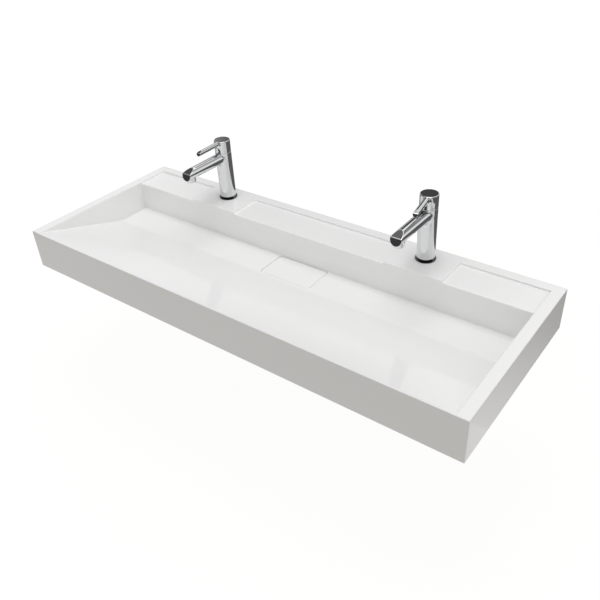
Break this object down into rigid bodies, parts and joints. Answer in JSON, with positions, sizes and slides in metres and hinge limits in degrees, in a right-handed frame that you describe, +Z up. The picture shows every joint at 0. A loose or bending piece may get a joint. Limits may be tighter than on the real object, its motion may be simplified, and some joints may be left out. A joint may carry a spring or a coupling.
{
  "type": "washbasin",
  "caption": "Wide wall-hung washbasin with a sloping bowl, a shelf behind it, a lift-off drain cover and single-lever mixer taps.",
  "frame": {"origin": "centre of the back face, on the line of the wall bolts, 60 mm above the underside and 42 mm below the rim", "axes": "+X to the right along the wall, +Y into the wall, -Y to the front edge, +Z up"},
  "size_m": [1.2, 0.46, 0.322],
  "materials": {
    "cast_mineral": "gloss",
    "chrome": "polished",
    "steel": "satin",
    "brass": "satin",
    "rubber": "matte",
    "white_plastic": "satin",
    "grey_plastic": "gloss"
  },
  "bodies": {
    "root": {"basin": "cast_mineral", "waste_flange": "steel", "waste_top_seal": "rubber", "waste_screw": "steel", "waste_low_seal": "rubber", "waste_tail": "chrome", "left_base_seal": "rubber", "left_base_ring": "chrome", "left_tap_body": "chrome", "left_aerator_shell": "chrome", "left_aerator_insert": "white_plastic", "left_cartridge": "white_plastic", "left_cartridge_nut": "brass", "left_bell": "chrome", "left_stud": "steel", "left_rubber_washer": "rubber", "left_clamp_plate": "steel", "left_stud_nut": "brass", "right_base_seal": "rubber", "right_base_ring": "chrome", "right_tap_body": "chrome", "right_aerator_shell": "chrome", "right_aerator_insert": "white_plastic", "right_cartridge": "white_plastic", "right_cartridge_nut": "brass", "right_bell": "chrome", "right_stud": "steel", "right_rubber_washer": "rubber", "right_clamp_plate": "steel", "right_stud_nut": "brass"},
    "cover": {"drain_cover": "cast_mineral", "cover_pads": "rubber"},
    "left_turner": {"left_carrier": "white_plastic", "left_lift_pin": "steel"},
    "left_lever": {"left_spindle": "steel", "left_handle": "chrome", "left_grub_screw": "steel", "left_handle_plug": "grey_plastic"},
    "right_turner": {"right_carrier": "white_plastic", "right_lift_pin": "steel"},
    "right_lever": {"right_spindle": "steel", "right_handle": "chrome", "right_grub_screw": "steel", "right_handle_plug": "grey_plastic"}
  },
  "joints": [
    {"name": "cover_lift", "type": "slide", "parent": "root", "child": "cover", "axis": [0, 0, 1], "range_m": [0, 0.1]},
    {"name": "left_turn", "type": "hinge", "parent": "root", "child": "left_turner", "pos_m": [-0.297, -0.049, 0.177], "axis": [0, 0, 1], "range_deg": [-47, 43]},
    {"name": "left_lift", "type": "hinge", "parent": "left_turner", "child": "left_lever", "pos_m": [-0.297, -0.049, 0.177], "axis": [-0.9994, -0.0349, 0], "range_deg": [0, 25]},
    {"name": "right_turn", "type": "hinge", "parent": "root", "child": "right_turner", "pos_m": [0.297, -0.049, 0.177], "axis": [0, 0, 1], "range_deg": [-55, 35]},
    {"name": "right_lift", "type": "hinge", "parent": "right_turner", "child": "right_lever", "pos_m": [0.297, -0.049, 0.177], "axis": [-0.9848, -0.1736, 0], "range_deg": [0, 25]}
  ]
}
